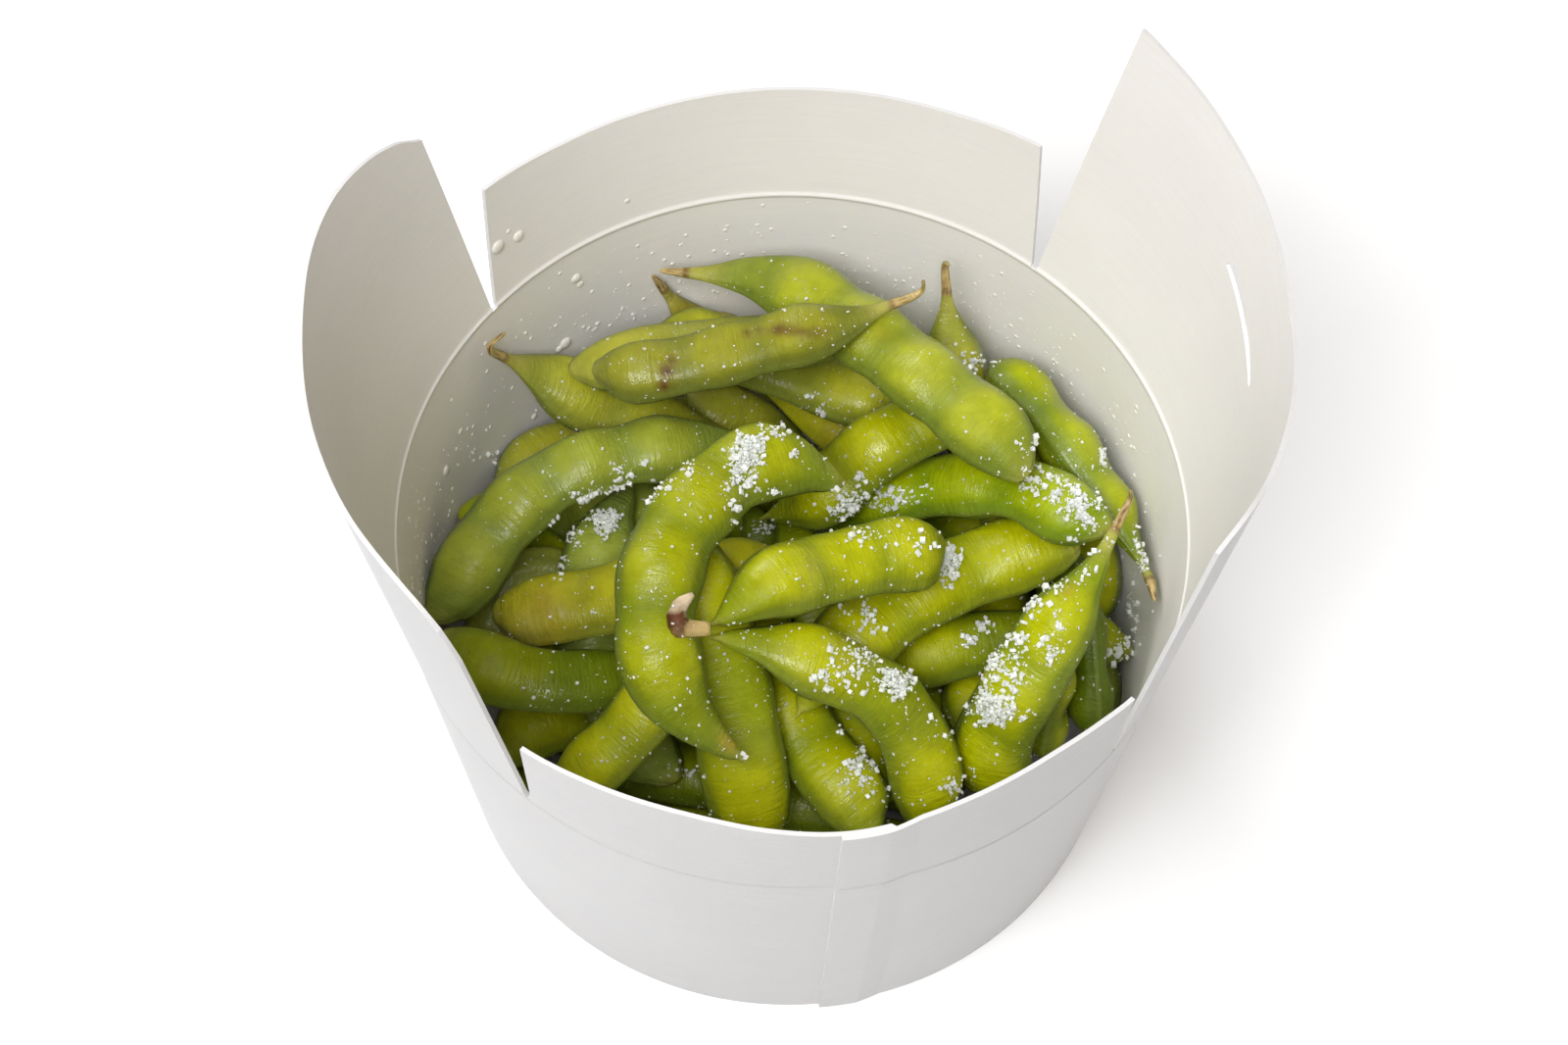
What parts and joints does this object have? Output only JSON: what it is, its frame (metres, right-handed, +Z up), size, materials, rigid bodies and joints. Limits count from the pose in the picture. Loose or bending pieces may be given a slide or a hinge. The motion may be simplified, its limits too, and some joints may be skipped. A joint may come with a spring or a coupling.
{
  "type": "edamame pod bundle in a folding paper carton",
  "caption": "Boiled, salted edamame pods heaped in an open round paperboard food carton with four curved flaps.",
  "frame": {"origin": "on the carton's axis, in the plane that it stands on", "axes": "+Z up out of the carton; +X towards the taller right-hand flap with the slot; -Y towards the glued seam and the viewer"},
  "size_m": [0.1454, 0.1329, 0.1235],
  "materials": {
    "board": "satin white coated paperboard",
    "pod_green": "moist semi-gloss pod skin, bright green over the beans",
    "pod_ripe": "moist semi-gloss pod skin, turned ochre",
    "salt": "translucent white coarse crystals"
  },
  "bodies": {
    "root": {"carton_wall": "board", "carton_base": "board", "pod_01": "pod_green", "pod_02": "pod_green", "pod_03": "pod_green", "pod_04": "pod_green", "pod_05": "pod_green", "pod_06": "pod_green", "pod_07": "pod_green", "pod_08": "pod_green", "pod_09": "pod_green", "pod_10": "pod_green", "pod_11": "pod_green", "pod_12": "pod_green", "pod_13": "pod_green", "pod_14": "pod_green", "pod_15": "pod_green", "pod_16": "pod_green", "pod_17": "pod_green", "pod_18": "pod_green", "pod_19": "pod_green", "pod_20": "pod_green", "pod_21": "pod_green", "pod_22": "pod_green", "pod_23": "pod_green", "pod_24": "pod_green", "pod_25": "pod_green", "pod_26": "pod_green", "pod_27": "pod_green", "pod_28": "pod_green", "pod_29": "pod_green", "pod_30": "pod_green", "pod_31": "pod_green", "pod_32": "pod_green", "pod_33": "pod_green", "pod_34": "pod_green", "pod_35": "pod_green", "pod_36": "pod_green", "pod_37": "pod_green", "pod_38": "pod_green", "pod_39": "pod_ripe", "pod_40": "pod_green", "pod_41": "pod_green", "pod_42": "pod_green", "pod_43": "pod_green", "pod_44": "pod_green", "pod_45": "pod_green", "pod_46": "pod_green", "pod_47": "pod_green", "pod_48": "pod_green", "pod_49": "pod_green", "pod_50": "pod_green", "pod_51": "pod_green", "pod_52": "pod_green", "pod_twins": "pod_green", "salt_01": "salt", "salt_02": "salt", "salt_03": "salt", "salt_04": "salt", "salt_05": "salt"}
  },
  "joints": []
}
